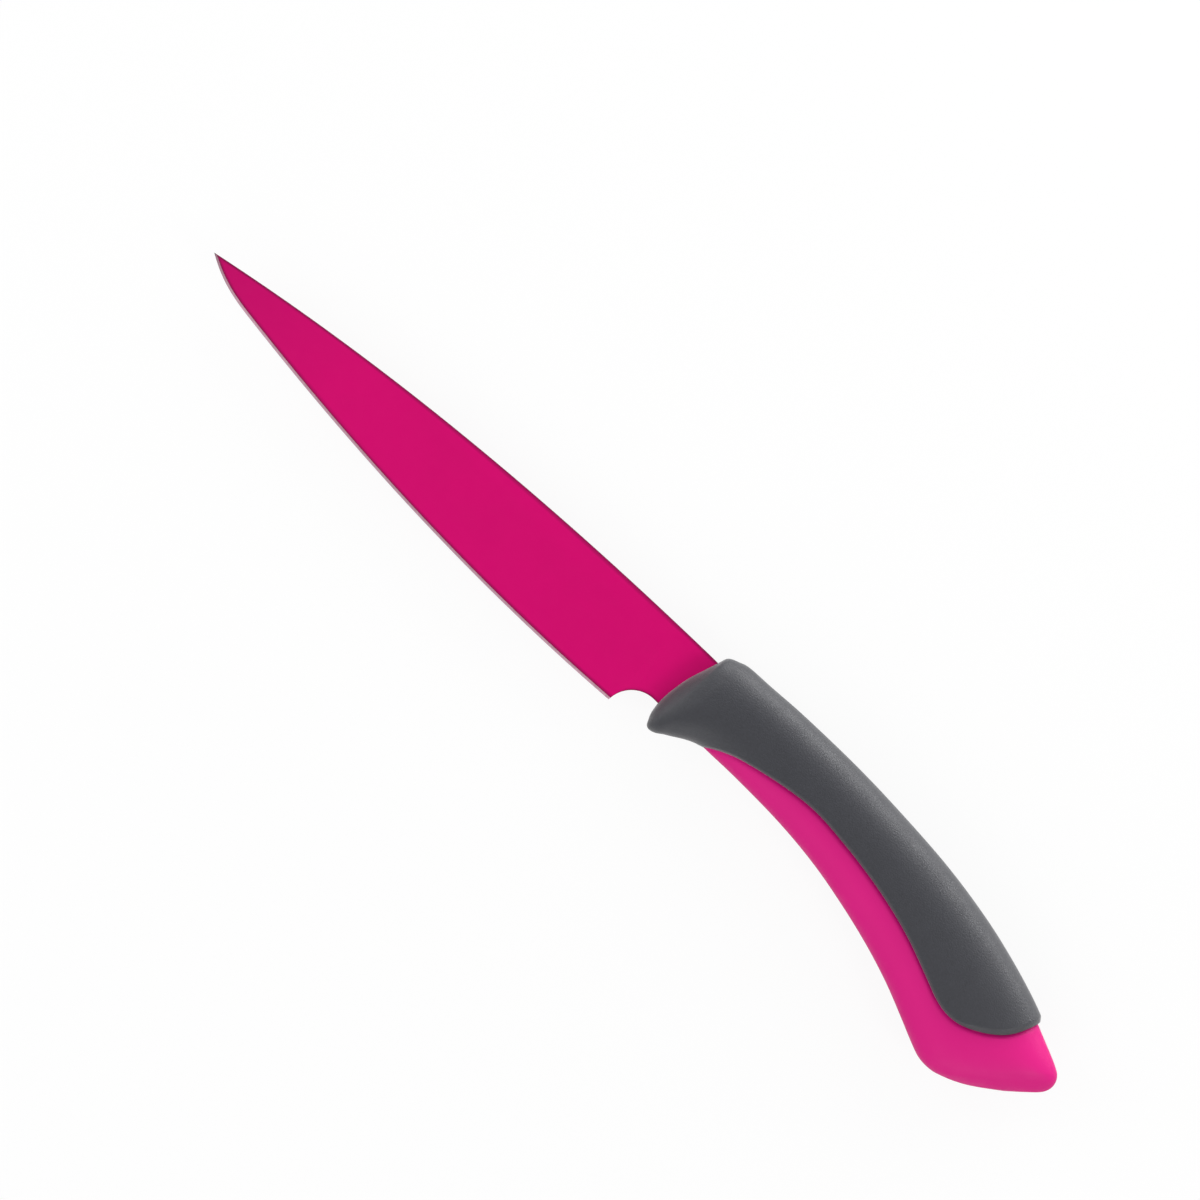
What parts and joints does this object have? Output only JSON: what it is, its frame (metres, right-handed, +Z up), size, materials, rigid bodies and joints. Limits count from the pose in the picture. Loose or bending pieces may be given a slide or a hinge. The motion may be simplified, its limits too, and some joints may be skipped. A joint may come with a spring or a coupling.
{
  "type": "slicing knife",
  "caption": "Slicing knife with a slender pointed coated blade, bare ground edge and notch behind the heel, and a curved two-tone handle with a soft grip and finger stop.",
  "frame": {"origin": "on the surface that the knife lies on, under the middle of its length and of its height", "axes": "+X from the tip to the butt, +Y from the cutting edge to the spine, +Z up through the thickness"},
  "size_m": [0.2814, 0.0388, 0.02],
  "materials": {
    "blade": "satin non-stick coat, bare ground steel along the edge",
    "handle_core": "satin moulded hard plastic",
    "grip": "matt fine-grained soft plastic"
  },
  "bodies": {
    "root": {"blade": "blade", "handle_core": "handle_core", "grip": "grip"}
  },
  "joints": []
}
